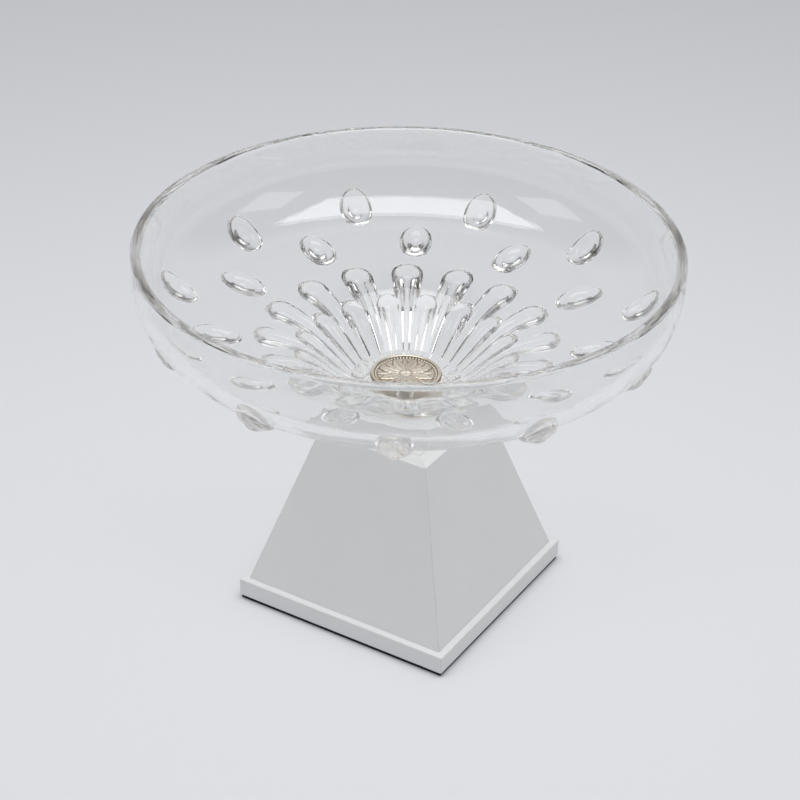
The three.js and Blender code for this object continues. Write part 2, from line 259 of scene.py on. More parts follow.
def unevenness(points, wave, seed, count=24):
    """Sum of sines with random directions and phases and about one wavelength, mostly between -1 and 1."""
    chance = np.random.default_rng(seed)
    ways = chance.normal(size=(count, 3))
    ways *= 2 * math.pi / wave / np.linalg.norm(ways, axis=1, keepdims=True)
    ways *= chance.uniform(0.6, 1.6, (count, 1))
    phase = chance.uniform(0, 2 * math.pi, count)
    return np.clip(np.sin(points @ ways.T + phase).sum(-1) / math.sqrt(2 * count), -1, 1)


def place_piece(name, mesh, slot, node):
    """Adds a finished piece that stands for a CAD node and takes its finish from a slot of the record."""
    piece = link_object(name, mesh)
    mesh.materials.append(materials[slot])
    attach(piece, "root")
    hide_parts(node)
    return piece


def grid_piece(name, grids, slot, node, marks=None, mark="edge", crease=35):
    """A piece of grids. Its points may carry marks, and its edges are sharp from an angle in degrees."""
    return place_piece(name, mesh_of_grids(name, grids, marks, mark, crease), slot, node)


def flat_faces(piece):
    """Shades large flat faces flat, though the eased edges beside them are smooth."""
    piece.modifiers.new("flat_faces", "WEIGHTED_NORMAL").keep_sharp = True


def group_of(name, inputs, outputs):
    """An empty node group with named sockets: its tree, its inputs, and the node that takes its outputs."""
    group = bpy.data.node_groups.new(name, "ShaderNodeTree")
    for label, kind in inputs.items():
        group.interface.new_socket(label, in_out="INPUT", socket_type="NodeSocket" + kind)
    for label, kind in outputs.items():
        group.interface.new_socket(label, in_out="OUTPUT", socket_type="NodeSocket" + kind)
    return group, group.nodes.new("NodeGroupInput").outputs, group.nodes.new("NodeGroupOutput")


def grouped(tree, group, **inputs):
    return put(tree, "ShaderNodeGroup", inputs, node_tree=group)


def maths(tree, operation, *values):
    return put(tree, "ShaderNodeMath", dict(enumerate(values)), operation=operation)


def bump(tree, height, strength, distance):
    """Bends the surface's direction by a height, which counts for so many metres."""
    return put(tree, "ShaderNodeBump", {"Height": height, "Strength": strength, "Distance": distance})


def crossed(tree, vector, turns, stretch, layer):
    """The highest of several layers that lie across each other, in turned and stretched coordinates."""
    highest = None
    for turn in turns:
        laid = put(tree, "ShaderNodeMapping", {"Vector": vector, "Rotation": turn, "Scale": stretch})
        streaks = layer(laid)
        highest = streaks if highest is None else maths(tree, "MAXIMUM", highest, streaks)
    return highest


# Mottling: a slow change of tone from one colour to another, in patches of two sizes.
mottling, given, result = group_of(
    "mottling",
    {"Vector": "Vector", "Scale": "Float", "First": "Color", "Second": "Color"},
    {"Color": "Color", "Mask": "Float"},
)
broad = noise(mottling, given["Vector"], given["Scale"], detail=4)
finer = maths(mottling, "MULTIPLY", given["Scale"], 6.3)
small = noise(mottling, given["Vector"], finer, detail=3)
patches = put(mottling, "ShaderNodeMix", {"Factor": 0.35, "A": broad, "B": small}, data_type="FLOAT")
patches = between(mottling, patches, 0, 1, 0.32, 0.68)
toned = mixed(mottling, patches, given["First"], given["Second"])
plug(mottling, result, {"Color": toned, "Mask": patches})

# Fibres: three layers of long thin streaks that lie across each other, as in felt and pressed board.
fibres, given, result = group_of("fibres", {"Vector": "Vector", "Scale": "Float"}, {"Mask": "Float"})


def fibre_streaks(laid):
    streaks = noise(fibres, laid, given["Scale"], detail=3, Distortion=1.4)
    return between(fibres, streaks, 0, 1, 0.45, 0.75)


fibre_turns = [(0.3, 0.2, 0.4), (1.2, 0.9, 1.5), (0.8, 2.1, 2.6)]
matted = crossed(fibres, given["Vector"], fibre_turns, (1, 9, 6), fibre_streaks)
plug(fibres, result, {"Mask": matted})

felt_half, felt_low, felt_high = half_and_heights("felt_pad")
felt_flat = felt_half - felt_ease
felt_lines = np.linspace(-felt_flat, felt_flat, round(2 * felt_half / felt_spacing))[1:-1]
felt_grids = [
    points - felt_lumps * (0.5 + 0.5 * unevenness(points, felt_lump_size, seed=11))[..., None] * facing
    for points, facing in slab(felt_half, felt_low, felt_high, felt_ease, felt_lines)
]
tree, shader, place = material_of("navy_felt")
nap = grouped(tree, fibres, Vector=place, Scale=420)
fuzz = maths(tree, "ADD", nap, noise(tree, place, scale=330))
plug(tree, shader, {
    "Base Color": mixed(tree, between(tree, fuzz, 0, 1, 0.4, 1.5), felt_dark, felt_light),
    "Roughness": between(tree, nap, 0.98, 0.88),
    "Specular IOR Level": 0.15,
    "Sheen Weight": 0.12,
    "Sheen Roughness": 0.5,
    "Sheen Tint": (0.5, 0.6, 0.8, 1),
    "Normal": bump(tree, fuzz, 0.8, 0.0003),
})
felt = grid_piece("felt_pad_navy", felt_grids, "navy_felt", "felt_pad")

# Plinth
# A square of 12 mm board with eased edges, sprayed with satin white lacquer. It has a hole for the spanner in
# the middle and a countersunk hole for a screw in each corner, all hidden under the felt.
plinth_ease = 0.9
access_radius = 15
screw_clearance = 0.3
screw_head_radius = 3.9
screw_head_rim = 0.4
screw_head_height = 2.6
screw_radius = 1.9
block_cells = 16
hole_ring = 0.75  # the ring of a block's cells that becomes the edge of its hole
hole_columns = 48
lacquer_light = (0.815, 0.815, 0.812, 1)
lacquer_dark = (0.790, 0.792, 0.792, 1)
# Painted shade: the darker tone laid in specks along the eased edges.
lacquer_edge_shade = (0.62, 0.64, 0.635, 1)


def full_turn(columns):
    return np.linspace(0, 2 * math.pi, columns + 1)


def around(radius, height, columns, centre=(0, 0)):
    """A grid of points round an upright axis, from the radius and height of each row or of each point."""
    angle = full_turn(columns)
    radius, height = (np.asarray(v, float) for v in (radius, height))
    radius, height = (v[:, None] if v.ndim == 1 else v for v in (radius, height))
    x = centre[0] + radius * np.cos(angle)
    y = centre[1] + radius * np.sin(angle)
    return np.stack([x, y, height + 0 * x], -1)


def to_circle(u, v):
    """Where points on a square's edge go when the square, of half width one, is bent into a circle."""
    sideways = np.abs(u) >= np.abs(v)
    x = np.where(sideways, np.sign(u) * np.cos(v * math.pi / 4), np.sin(u * math.pi / 4))
    y = np.where(sideways, np.sin(v * math.pi / 4), np.sign(v) * np.cos(u * math.pi / 4))
    return x, y


def drill(grid, centre, block, radius):
    """Opens a round hole in a level face. In the square block round its centre, each square ring of points is
    blended to a circle, more so the nearer it is to the hole. The points within the hole go missing."""
    offset = (grid[..., :2] - centre) / block
    ring = np.abs(offset).max(-1)
    square = offset / np.maximum(ring, 1e-9)[..., None]
    circle = np.stack(to_circle(square[..., 0], square[..., 1]), -1)
    share = np.clip((ring - hole_ring) / (1 - hole_ring), 0, 1)[..., None]
    moved = centre + (1 - share) * radius * circle + share * block * square
    grid[..., :2] = np.where((ring < 1 + 1e-6)[..., None], moved, grid[..., :2])
    grid[ring < hole_ring - 1e-6] = np.nan


def edge_mark(facing):
    """How far a point is on an eased edge: 0 on a flat face, and 1 halfway round the edge."""
    return np.sort(np.abs(facing), -1)[..., 1] * math.sqrt(2)


def mark_of(tree, name):
    """The mark of that name, which the mesh carries at its points."""
    return put(tree, "ShaderNodeAttribute", {}, attribute_name=name).node.outputs["Fac"]


plinth_half, plinth_low, plinth_high = half_and_heights("plinth")
screw_low, screw_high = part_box("plinth_screw_2")
screw_place = (screw_low.x + screw_high.x) * 500
screw_base, screw_top = screw_low.z * 1000, screw_high.z * 1000
screw_centres = [(sx * screw_place, sy * screw_place) for sx in (-1, 1) for sy in (-1, 1)]
flat_half = plinth_half - plinth_ease
block_edge = 2 * screw_place - flat_half  # where the middle hole's block ends and the corners' blocks begin
plinth_lines = np.concatenate([
    np.linspace(-flat_half, -block_edge, block_cells + 1)[1:],
    np.linspace(-block_edge, block_edge, block_cells + 1)[1:],
    np.linspace(block_edge, flat_half, block_cells + 1)[1:-1],
])
plinth_faces = slab(plinth_half, plinth_low, plinth_high, plinth_ease, plinth_lines)
plinth_grids = [points for points, _ in plinth_faces]
plinth_marks = [edge_mark(facing) for _, facing in plinth_faces]
shank_hole = screw_radius + screw_clearance
mouth_hole = screw_head_radius + screw_clearance
hole_radii = [shank_hole, shank_hole, mouth_hole, mouth_hole]
hole_heights = [
    plinth_high,
    screw_base + screw_head_height + screw_clearance,
    screw_base + screw_head_rim,
    plinth_low,
]
for grid, radius in ((plinth_grids[4], shank_hole), (plinth_grids[5], mouth_hole)):
    drill(grid, (0, 0), block_edge, access_radius)
    for centre in screw_centres:
        drill(grid, centre, flat_half - screw_place, radius)
plinth_grids.append(around([access_radius] * 2, [plinth_high, plinth_low], hole_columns))
plinth_grids += [around(hole_radii, hole_heights, hole_columns, centre) for centre in screw_centres]
plinth_marks += [np.zeros(grid.shape[:2]) for grid in plinth_grids[6:]]

# Satin lacquer: faint orange peel from the spray, slow changes of gloss, and painted shade along the edges.
tree, shader, place = material_of("white_lacquer")
spray = grouped(tree, mottling, Vector=place, Scale=14, First=lacquer_dark, Second=lacquer_light)
speck = between(tree, noise(tree, place, scale=900), 0.2, 0.75, 0.3, 0.7)
# Painted shade along the eased edges: the edge mark times the specks.
edge_shade = maths(tree, "MULTIPLY", mark_of(tree, "edge"), speck)
plug(tree, shader, {
    "Base Color": mixed(tree, edge_shade, spray, lacquer_edge_shade),
    "Roughness": between(tree, spray.node.outputs["Mask"], 0.36, 0.46),
    "Normal": bump(tree, noise(tree, place, scale=380, Roughness=0.4), 0.5, 0.00003),
})
flat_faces(grid_piece("plinth_board", plinth_grids, "white_lacquer", "plinth", plinth_marks))

# Plinth screws
# Four countersunk wood screws, bright zinc plated, with a cross recess, driven up through the plinth into the
# corner blocks. The shank is plain up to the top of the plinth and threaded above.
screw_core = 1.25
screw_pitch = 1.7
screw_tip = 4
screw_head_ease = 0.1
thread_start = 0.2  # above the plain shank
thread_fade = 2  # length over which the thread grows to its full depth
thread_rows = 8  # rows of points to each turn of a thread
recess_depth = 1.5
recess_radius = 2.3
screw_columns = 48
zinc_light = (0.62, 0.63, 0.65, 1)
zinc_dark = (0.48, 0.50, 0.53, 1)


def thread_depth(angle, height, pitch, depth):
    """Depth of a right-handed thread: a triangle wave up the height that shifts with the angle, with flat
    crests and roots."""
    phase = (height / pitch - angle / (2 * math.pi)) % 1
    return depth * np.clip(1.25 * np.abs(2 * phase - 1) - 0.125, 0, 1)


def spread(values, columns):
    """A table that has each value in every column of a row."""
    return np.repeat(np.array(values, float)[:, None], columns, 1)


# Scratches: fine straight lines in three directions, each a narrow band of a stretched noise.
scratches, given, result = group_of("scratches", {"Vector": "Vector", "Scale": "Float"}, {"Mask": "Float"})


def scratch_lines(laid):
    return maths(scratches, "COMPARE", noise(scratches, laid, given["Scale"], detail=1), 0.5, 0.018)


scratch_turns = [(0.1, 0.4, 0.6), (0.7, 1.1, 2.1), (1.9, 0.2, 3.0)]
scored = crossed(scratches, given["Vector"], scratch_turns, (1, 26, 26), scratch_lines)
plug(scratches, result, {"Mask": scored})


def metal_of(name, light, dark, gloss, blotches):
    """A metal with mottled colour, a range of gloss, fine scratches and dark hollows that its mesh marks."""
    tree, shader, place = material_of(name)
    tone = grouped(tree, mottling, Vector=place, Scale=blotches, First=dark, Second=light)
    worn = grouped(tree, scratches, Vector=place, Scale=60)
    hollow = mark_of(tree, "hollow")
    grime = tuple(0.26 * c ** 2.6 for c in dark[:3]) + (1,)
    rough = between(tree, tone.node.outputs["Mask"], *gloss)
    rough = maths(tree, "MULTIPLY_ADD", worn, 0.12, rough)
    rough = maths(tree, "MULTIPLY_ADD", hollow, 0.35, rough)
    pitted = maths(tree, "SUBTRACT", noise(tree, place, scale=1500), worn)
    plug(tree, shader, {
        "Base Color": mixed(tree, hollow, tone, grime),
        "Metallic": 1.0,
        "Roughness": rough,
        "Normal": bump(tree, pitted, 0.25, 0.00004),
    })


metal_of("zinc_steel", zinc_light, zinc_dark, (0.26, 0.38), 130)

angle = full_turn(screw_columns)
screw_length = screw_top - screw_base
plain_length = plinth_high - screw_base
recess_rows = np.linspace(0, screw_head_radius, 14)[:-1]
arms = ((1 + np.cos(4 * angle)) / 2) ** 3
recess_reach = recess_radius * (0.3 + 0.7 * arms)
recess = recess_depth * np.sqrt(np.clip(1 - recess_rows[:, None] / recess_reach, 0, 1))
head_radii = [screw_head_radius - screw_head_ease, screw_head_radius, screw_head_radius]
head_heights = [0, screw_head_ease, screw_head_rim]
thread_heights = np.arange(plain_length + thread_start, screw_length - 0.02, screw_pitch / thread_rows)
fade_in = np.clip((thread_heights - thread_heights[0]) / thread_fade, 0, 1)
to_point = np.clip((screw_length - thread_heights) / screw_tip, 0, 1)
groove = thread_depth(angle, thread_heights[:, None], screw_pitch, screw_radius - screw_core)
screw_radii = np.concatenate([
    spread(recess_rows, len(angle)),
    spread(head_radii + [screw_radius, screw_radius], len(angle)),
    (screw_radius - groove * fade_in[:, None]) * to_point[:, None] ** 0.8,
    spread([0], len(angle)),
])
screw_heights = np.concatenate([
    recess,
    spread(head_heights + [screw_head_height, plain_length], len(angle)),
    spread(thread_heights, len(angle)),
    spread([screw_length], len(angle)),
])
for number in range(1, 5):
    low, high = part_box(f"plinth_screw_{number}")
    centre = ((low.x + high.x) * 500, (low.y + high.y) * 500)
    grid = around(screw_radii, screw_heights + screw_base, screw_columns, centre)
    grid_piece(f"wood_screw_{number}", [grid], "zinc_steel", f"plinth_screw_{number}", crease=40)

# Pyramid panels
# Four panels of 10 mm board, mitred and glued into a hollow pyramid, filled, rubbed down and sprayed as one.
# Each corner is a small even round with only a hair line where the mitres meet.
panel_thick = 10
corner_round = 0.9
mitre_gap = 0.03
end_ease = 0.3
pyramid_top_half = 38.5
_, panel_low, panel_high = half_and_heights("panel_front")
pyramid_foot_half = -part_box("panel_front")[0].y * 1000
lean = (pyramid_foot_half - pyramid_top_half) / (panel_high - panel_low)
panel_width = panel_thick * math.hypot(1, lean)  # the panel's thickness on the level


def panel_outline(height, inset):
    """Plan of the front panel at a height, anticlockwise from above, drawn in all round by an inset, and its
    marks. It has the outer face, half of each corner's round, both mitres and the inner face."""
    half = pyramid_foot_half - (height - panel_low) * lean - inset
    inner = half - panel_width + 2 * inset
    turn = np.linspace(-math.pi / 2, -math.pi / 4, 6)
    middle = half - corner_round
    x = np.concatenate([[0, middle / 2, middle - 1], middle + corner_round * np.cos(turn), [inner]])
    y = np.concatenate([[-half] * 3, -middle + corner_round * np.sin(turn), [-inner]])
    x[-2:] -= mitre_gap / 2 + inset * (math.sqrt(2) - 1)
    mark = np.concatenate([[0, 0, 0], np.sin(2 * (turn + math.pi / 2)) ** 2, [0]])
    right = np.stack([x, y], 1)
    left = right[::-1] * (-1, 1)
    outline = np.concatenate([left[:-1], right, left[:1]])
    return outline, np.concatenate([mark[::-1][:-1], mark, mark[-1:]])


def cap(outline):
    """A fan from a closed outline to its middle, facing the side where the outline runs anticlockwise."""
    middle = outline[:-1].mean(0)
    return np.stack([outline, np.broadcast_to(middle, outline.shape)])


round_over = np.linspace(0, math.pi / 2, 4)
end_rows = [(end_ease * (1 - math.sin(t)), end_ease * (1 - math.cos(t))) for t in round_over]
panel_rows = [(panel_low + rise, inset) for rise, inset in end_rows[::-1]]
panel_rows += [(panel_high - rise, inset) for rise, inset in end_rows]
panel_grid = []
panel_marks = []
for height, inset in panel_rows:
    outline, mark = panel_outline(height, inset)
    panel_grid.append(np.column_stack([outline, np.full(len(outline), height)]))
    panel_marks.append(mark)
panel_grid = np.stack(panel_grid)
panel_grids = [panel_grid, cap(panel_grid[-1]), cap(panel_grid[0, ::-1])]
panel_marks = [np.stack(panel_marks)] + [np.zeros(grid.shape[:2]) for grid in panel_grids[1:]]
for quarter, side in enumerate(("front", "right", "back", "left")):
    cos, sin = math.cos(quarter * math.pi / 2), math.sin(quarter * math.pi / 2)
    turn = np.array([[cos, -sin, 0], [sin, cos, 0], [0, 0, 1]])
    grids = [grid @ turn.T for grid in panel_grids]
    flat_faces(grid_piece(f"pyramid_panel_{side}", grids, "white_lacquer", f"panel_{side}", panel_marks))

# Corner blocks
# Four three-sided blocks sawn from raw board and glued into the pyramid's inner corners. They carry the top
# board, and the plinth's screws hold in them. They are plain sawn shapes, so the CAD solids show.
board_light = (0.52, 0.39, 0.25, 1)
board_dark = (0.40, 0.28, 0.165, 1)
board_fibre = (0.60, 0.48, 0.33, 1)
tree, shader, place = material_of("raw_board")
tone = grouped(tree, mottling, Vector=place, Scale=60, First=board_dark, Second=board_light)
chips = grouped(tree, fibres, Vector=place, Scale=260)
plug(tree, shader, {
    "Base Color": mixed(tree, between(tree, chips, 0, 0.8), tone, board_fibre),
    "Roughness": between(tree, chips, 0.92, 0.8),
    "Specular IOR Level": 0.25,
    "Normal": bump(tree, chips, 0.6, 0.0002),
})
for number in range(1, 5):
    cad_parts[f"corner_block_{number}"].material_slots[0].material = materials["raw_board"]

# Top board
# The pyramid's flat top: a square of the same board let in flush between the panels, its edges bevelled to
# their inner faces, with a hole for the stud. It is filled and lacquered with them.
top_ease = 0.25
stud_hole = 4.3
top_half, top_low, top_high = half_and_heights("top_board")
top_block = 16
top_lines = np.concatenate([
    np.linspace(-top_half + top_ease, -top_block, 6)[1:-1],
    np.linspace(-top_block, top_block, block_cells + 1),
    np.linspace(top_block, top_half - top_ease, 6)[1:-1],
])
top_faces = slab(top_half, top_low, top_high, top_ease, top_lines)
top_grids = [points for points, _ in top_faces]
for grid in top_grids:
    drawn_in = 1 - (grid[..., 2:] - top_low) * lean / top_half
    grid[..., :2] *= drawn_in
    if np.ptp(grid[..., 2]) < top_ease:
        drill(grid, (0, 0), top_block * np.median(drawn_in), stud_hole)
top_grids.append(around([stud_hole] * 2, [top_high, top_low], hole_columns))
top_marks = [edge_mark(facing) for _, facing in top_faces] + [np.zeros(top_grids[-1].shape[:2])]
flat_faces(grid_piece("pyramid_top_board", top_grids, "white_lacquer", "top_board", top_marks))

# Washers and nut
# A wide flat washer, a split spring washer and a chamfered hexagon nut, bright zinc plated. They pull the
# stud down from inside the hollow pyramid.
stud_radius = 4
stud_pitch = 1.25
stud_thread = 0.62
washer_ease = 0.25
split_gap = 2.4
nut_half = 6.5  # half of the width across the flats
nut_face_radius = 6.1
nut_chamfer = math.radians(28)
nut_slack = 0.12
nut_lead = 0.5  # depth at which the thread starts at each end
nut_columns = 96


def eased(outline, ease, steps=4):
    """A closed outline of radii and heights, its corners eased: each becomes a quadratic curve between the
    points on its two sides that are the ease's length from it. The first point comes again at the end."""
    outline = np.array(outline, float)
    to_last = np.roll(outline, 1, 0) - outline
    to_next = np.roll(outline, -1, 0) - outline
    start = outline + ease * to_last / np.linalg.norm(to_last, axis=1, keepdims=True)
    end = outline + ease * to_next / np.linalg.norm(to_next, axis=1, keepdims=True)
    t = np.linspace(0, 1, steps + 1)[None, :, None]
    curves = (1 - t) ** 2 * start[:, None] + 2 * t * (1 - t) * outline[:, None] + t ** 2 * end[:, None]
    points = curves.reshape(-1, 2)
    return np.concatenate([points, points[:1]])


def ring_section(inner, outer, low, high, ease):
    """The eased section of a plain ring, anticlockwise with the axis on its left."""
    return eased([(inner, low), (outer, low), (outer, high), (inner, high)], ease)


def ring_piece(name, node, inner, ease, slot, columns=96):
    """A plain ring with eased edges in place of a CAD node."""
    outer, low, high = half_and_heights(node)
    section_points = ring_section(inner, outer, low, high, ease)
    grid = around(section_points[:, 0], section_points[:, 1], columns)
    flat_faces(grid_piece(name, [grid], slot, node))


ring_piece("flat_washer", "stud_washer", stud_hole, washer_ease, "zinc_steel")

_, split_low, split_high = half_and_heights("spring_washer")
split_outer = -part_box("spring_washer")[0].x * 1000  # on the side away from the split
split_section = ring_section(stud_hole, split_outer, split_low, split_high, washer_ease)
split_half_angle = split_gap / 2 / split_outer
split_angle = np.linspace(split_half_angle, 2 * math.pi - split_half_angle, 73)
split_grid = np.stack([
    split_section[:, :1] * np.cos(split_angle),
    split_section[:, :1] * np.sin(split_angle),
    spread(split_section[:, 1], len(split_angle)),
], -1)
split_grids = [split_grid, cap(split_grid[:, 0]), cap(split_grid[::-1, -1])]
flat_faces(grid_piece("split_washer", split_grids, "zinc_steel", "spring_washer"))

_, nut_low, nut_high = half_and_heights("stud_nut")
angle = full_turn(nut_columns)
flats = nut_half / np.cos(angle % (math.pi / 3) - math.pi / 6)
drop = (flats - nut_face_radius) * math.tan(nut_chamfer)
bore_heights = np.arange(nut_high - nut_lead, nut_low + nut_lead, -stud_pitch / thread_rows)
bore_radii = stud_radius + nut_slack - thread_depth(angle, bore_heights[:, None], stud_pitch, stud_thread)
even = np.ones_like(angle)
nut_radii = np.concatenate([
    [stud_hole * even, nut_face_radius * even, flats, flats, nut_face_radius * even, stud_hole * even],
    bore_radii,
    [stud_hole * even],
])
nut_heights = np.concatenate([
    [nut_low * even, nut_low * even, nut_low + drop, nut_high - drop, nut_high * even, nut_high * even],
    spread(bore_heights, len(angle)),
    [nut_low * even],
])
nut_grid = around(nut_radii, nut_heights, nut_columns)
grid_piece("hexagon_nut", [nut_grid], "zinc_steel", "stud_nut", crease=25)

# Stud and sleeve
# An 8 mm threaded brass stud, brazed under the medallion, runs down through the glass and the top board. A
# nylon sleeve keeps it off the glass.
stud_end_ease = 0.9
stud_columns = 64
sleeve_ease = 0.15
brass_light = (0.78, 0.62, 0.34, 1)
brass_dark = (0.62, 0.45, 0.20, 1)
metal_of("stud_brass", brass_light, brass_dark, (0.24, 0.36), 110)
_, stud_low, stud_high = half_and_heights("centre_stud")
stud_heights = np.concatenate([
    [stud_low],
    np.arange(stud_low, stud_high, stud_pitch / thread_rows),
    [stud_high, stud_high],
])
angle = full_turn(stud_columns)
from_end = np.minimum(stud_heights - stud_low, stud_high - stud_heights)[:, None]
stud_radii = stud_radius - thread_depth(angle, stud_heights[:, None], stud_pitch, stud_thread)
stud_radii = np.minimum(stud_radii, stud_radius - stud_end_ease + from_end)
stud_radii[[0, -1]] = 0
stud_grid = around(stud_radii, stud_heights, stud_columns)
grid_piece("threaded_stud", [stud_grid], "stud_brass", "centre_stud", crease=50)

nylon_light = (0.86, 0.85, 0.80, 1)
nylon_dark = (0.80, 0.785, 0.72, 1)
tree, shader, place = material_of("natural_nylon")
tone = grouped(tree, mottling, Vector=place, Scale=90, First=nylon_dark, Second=nylon_light)
plug(tree, shader, {
    "Base Color": tone,
    "Roughness": between(tree, tone.node.outputs["Mask"], 0.42, 0.55),
    "Subsurface Weight": 0.2,
    "Subsurface Scale": 0.002,
})
ring_piece("stud_sleeve", "bore_sleeve", stud_hole, sleeve_ease, "natural_nylon", stud_columns)

# Seat of the bowl
# A thin gilt disc, spun from sheet, on the top board, and a clear silicone gasket between it and the foot.
gilt_light = (0.98, 0.92, 0.82, 1)
gilt_dark = (0.88, 0.78, 0.64, 1)
bore_radius = 6
seat_columns = 192
disc_ease = 0.3
gasket_ease = 0.15
metal_of("champagne_gilt", gilt_light, gilt_dark, (0.27, 0.36), 95)
ring_piece("seat_disc_gilt", "seat_disc", stud_hole, disc_ease, "champagne_gilt", seat_columns)

silicone_light = (0.97, 0.975, 0.98, 1)
silicone_dark = (0.93, 0.94, 0.95, 1)


def let_light_through(tree, shader):
    """Lets light bound for a lamp or off a matt surface go straight through a clear piece, hardly dimmed."""
    kind = put(tree, "ShaderNodeLightPath", {}).node.outputs
    straight = maths(tree, "MAXIMUM", kind["Is Shadow Ray"], kind["Is Diffuse Ray"])
    dimmed = put(tree, "ShaderNodeBsdfTransparent", {"Color": (0.985, 0.987, 0.985, 1)})
    passing = put(tree, "ShaderNodeMixShader", {0: straight, 1: shader.outputs[0], 2: dimmed})
    plug(tree, tree.nodes["Material Output"], {"Surface": passing})


tree, shader, place = material_of("clear_silicone")
cloud = grouped(tree, mottling, Vector=place, Scale=120, First=silicone_dark, Second=silicone_light)
plug(tree, shader, {
    "Base Color": cloud,
    "Roughness": between(tree, cloud.node.outputs["Mask"], 0.04, 0.10),
    "Transmission Weight": 1,
    "IOR": 1.41,
})
let_light_through(tree, shader)


def gasket(name, node, inner):
    ring_piece(name, node, inner, gasket_ease, "clear_silicone", seat_columns)


gasket("foot_gasket_clear", "foot_gasket", bore_radius)

# Glass bowl
# Heavy clear crystal, pressed in a mould: smooth inside, with drops and flutes standing out of its underside.
# Its rim and inside were fire polished, which leaves them very slightly wavy. Its foot is bored for the stud.
rim_radius = 165
bowl_height = 123.8
rim_thick = 6.8
wall_height = 15.6  # upright part of the wall, under the rim
shoulder_radius = 46
floor_slope = math.radians(12)
floor_thick = 7.2
floor_reach = 0.78
foot_radius = 26
foot_edge = 1.5
neck_radius = 28
neck_height = 12
neck_sweep = (41.5, 38.1)
well_radius = 34
well_height = 29.5
well_sweep = (33.4, 27.7)
drop_count = 11
drop_half = (15, 10.25)  # along the radius and across it
drop_height = 5.6
drop_core, drop_skirt = 0.5, 0.75  # reach of the inner dome in the outline, share of the height in the skirt
drop_rings = (116, 146.5)
drop_turn = math.radians(20.6)
flute_count = 16
flute_turn = math.radians(8.9)
flute_root = 29.5
# Of each kind of flute: the radius of its head's centre, the head's half width, and its height.
flute_heads = {"long": (84, 10, 7.0), "short": (63, 8, 6.2)}
flute_core = 0.47
flute_skirt = (0.3, 0.87)  # at the root and at the head
flute_rise = 0.6  # less than one, so that a flute rises fast at its root
groove_round = 0.35  # how far the grooves between flutes are filled in
# The number of waves round the bowl, their turn for each millimetre along the section, and their start.
ripple_waves = [(5, 0.030, 0.9), (9, -0.045, 2.6), (14, 0.052, 4.1), (23, -0.075, 0.4), (37, 0.11, 5.2)]
ripple_depth, rim_ripple = 0.04, 0.16
ripple_fade = 20  # length over which the ripple dies out toward the neck and the well
rim_reach = 14  # how far from the lip's middle the rim's own ripple reaches
moulded_reach, bored_reach = 0.22, 0.03  # over which the directions of the surface are taken
corner = 0.35  # width of the strips on both sides of a moulded corner
bored_corner = 0.06  # the same at a bored one
fine_columns = 704  # 64 for each drop, 44 for each long flute
coarse_columns = 176
drop_cells = (10, 10)  # columns and rows from the middle of a drop to its outline
head_cells = (14, 10)  # the same for a long flute's head
bowl_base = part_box("glass_bowl")[0].z * 1000


def bezier(start, first, second, end, steps=400):
    """A cubic Bezier curve: the four points weighted by the Bernstein polynomials of t."""
    t = np.linspace(0, 1, steps)[:, None]
    points = [np.array(p, float) for p in (start, first, second, end)]
    shares = [(1 - t) ** 3, 3 * t * (1 - t) ** 2, 3 * t ** 2 * (1 - t), t ** 3]
    return sum(share * point for share, point in zip(shares, points))


def arc(centre, radius, begin, end, steps=400):
    """Part of a circle: the centre plus the radius times (cosine, sine) of evenly spaced angles."""
    angle = np.linspace(begin, end, steps)
    return np.stack([centre[0] + radius * np.cos(angle), centre[1] + radius * np.sin(angle)], 1)


def straight(start, end, steps=50):
    t = np.linspace(0, 1, steps)[:, None]
    return (1 - t) * np.array(start, float) + t * np.array(end, float)


bend = (rim_radius - shoulder_radius, bowl_height - wall_height)
bend_end = floor_slope - math.pi / 2
inner_bend = shoulder_radius - floor_thick
lip = rim_thick / 2


def floor_curve(radius, low, sweep):
    """The bowl's floor from its centre part to the bend: a Bezier curve that meets the bend at its slope."""
    end = (bend[0] + radius * math.cos(bend_end), bend[1] + radius * math.sin(bend_end))
    reach = (end[0] - low[0]) * floor_reach
    before_end = (end[0] - reach * math.cos(floor_slope), end[1] - reach * math.sin(floor_slope))
    return bezier(low, (low[0] + sweep[0], low[1] + sweep[1]), before_end, end)


# The section as one closed path of radius and height, from the foot's face round by the rim to the bore.
foot_face = (foot_radius - foot_edge, 0)
foot_side = (foot_radius, foot_edge)
neck = (neck_radius, neck_height)
well = (well_radius, well_height)
inner_wall = rim_radius - rim_thick
lip_height = bowl_height - lip
section_parts = [
    straight((bore_radius, 0), foot_face),
    straight(foot_face, foot_side),
    straight(foot_side, neck),
    floor_curve(shoulder_radius, neck, neck_sweep),
    arc(bend, shoulder_radius, bend_end, 0),
    straight((rim_radius, bend[1]), (rim_radius, lip_height)),
    arc((rim_radius - lip, lip_height), lip, 0, math.pi),
    straight((inner_wall, lip_height), (inner_wall, bend[1])),
    arc(bend, inner_bend, 0, bend_end),
    floor_curve(inner_bend, well, well_sweep)[::-1],
    straight(well, (bore_radius, well_height)),
    straight((bore_radius, well_height), (bore_radius, 0)),
]
section = np.concatenate([part[:-1] for part in section_parts] + [section_parts[-1][-1:]])
steps = np.linalg.norm(np.diff(section, axis=0), axis=1)
run = np.concatenate([[0], np.cumsum(steps)])  # length of the path up to each point
part_ends = run[np.cumsum([len(part) - 1 for part in section_parts])]
foot_end, edge_end, neck_end, _, bend_top, wall_end = part_ends[:6]
lip_end, _, inner_bend_end, inner_floor_end, well_end, bore_end = part_ends[6:]
heading = np.gradient(section, run, axis=0)
heading /= np.linalg.norm(heading, axis=1)[:, None]


def on_section(s):
    """Radius, height and outward direction at a length along the section, by straight interpolation."""
    r = np.interp(s, run, section[:, 0])
    z = np.interp(s, run, section[:, 1])
    out_r = np.interp(s, run, heading[:, 1])
    out_z = np.interp(s, run, -heading[:, 0])
    size = np.hypot(out_r, out_z)
    return r, z, out_r / size, out_z / size


